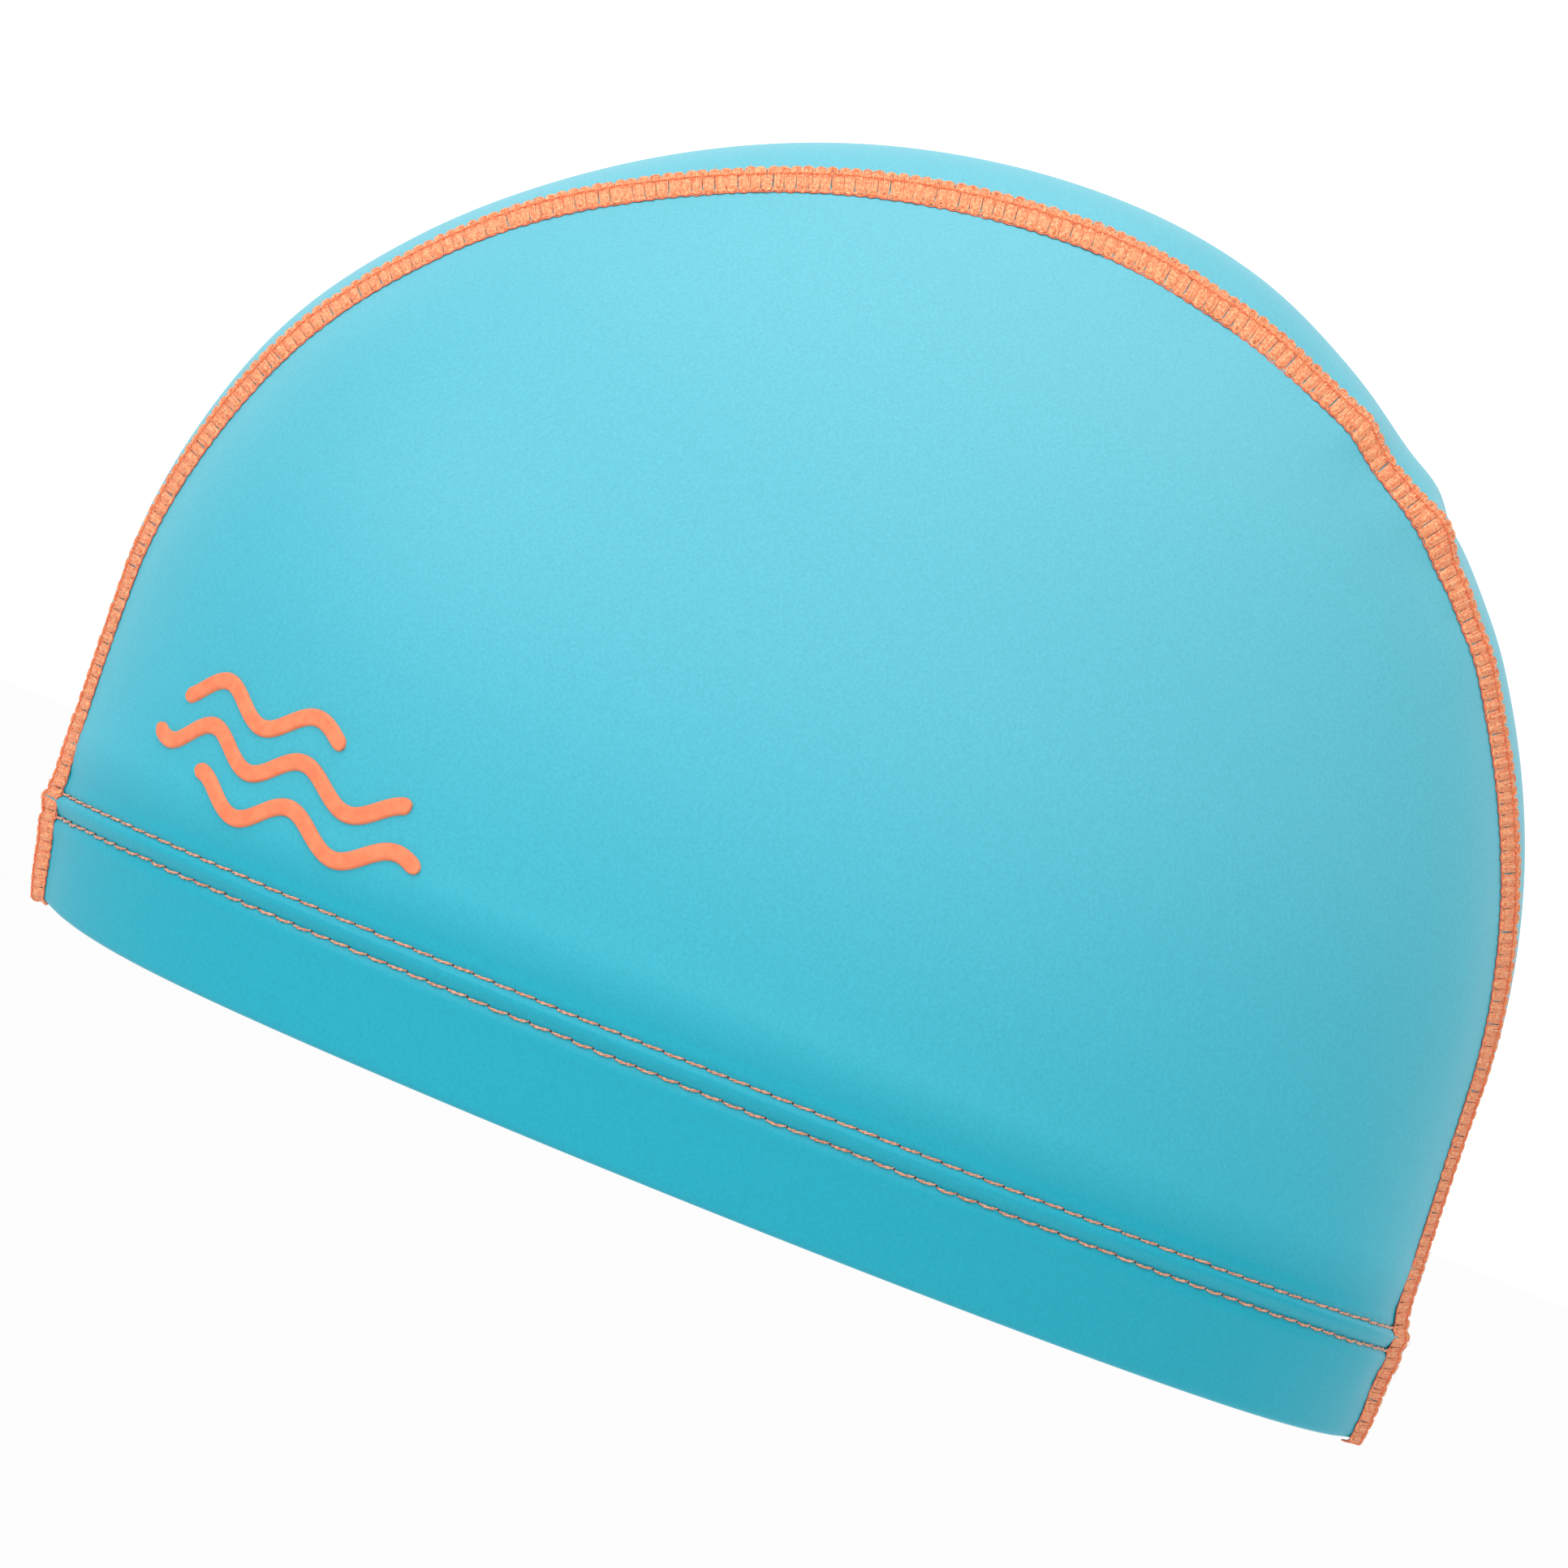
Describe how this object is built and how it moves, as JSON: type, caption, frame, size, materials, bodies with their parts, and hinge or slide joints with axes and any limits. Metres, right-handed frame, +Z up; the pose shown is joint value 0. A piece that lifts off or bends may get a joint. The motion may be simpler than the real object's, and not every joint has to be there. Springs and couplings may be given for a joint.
{
  "type": "swim cap",
  "caption": "Close-fitting swim cap of coated stretch fabric: side panels and a crown strip joined by flatlock seams, with a doubled twin-stitched hem.",
  "frame": {"origin": "middle of the cap's box on the plane of the hem's lower edge", "axes": "+Z up from the hem to the crown, +Y from the forehead to the nape, +X to the wearer's left"},
  "size_m": [0.148, 0.2053, 0.1477],
  "materials": {
    "coated_fabric": "stretch knit with a satin-matte polyurethane coating, light turquoise blue",
    "seam_thread": "textured polyester thread, light orange, matte",
    "emblem_print": "raised transfer print, light orange, satin"
  },
  "bodies": {
    "root": {"side_panel_left": "coated_fabric", "side_panel_right": "coated_fabric", "crown_strip": "coated_fabric", "seam_left": "seam_thread", "seam_right": "seam_thread", "emblem_wave_upper": "emblem_print", "emblem_wave_middle": "emblem_print", "emblem_wave_lower": "emblem_print"}
  },
  "joints": []
}
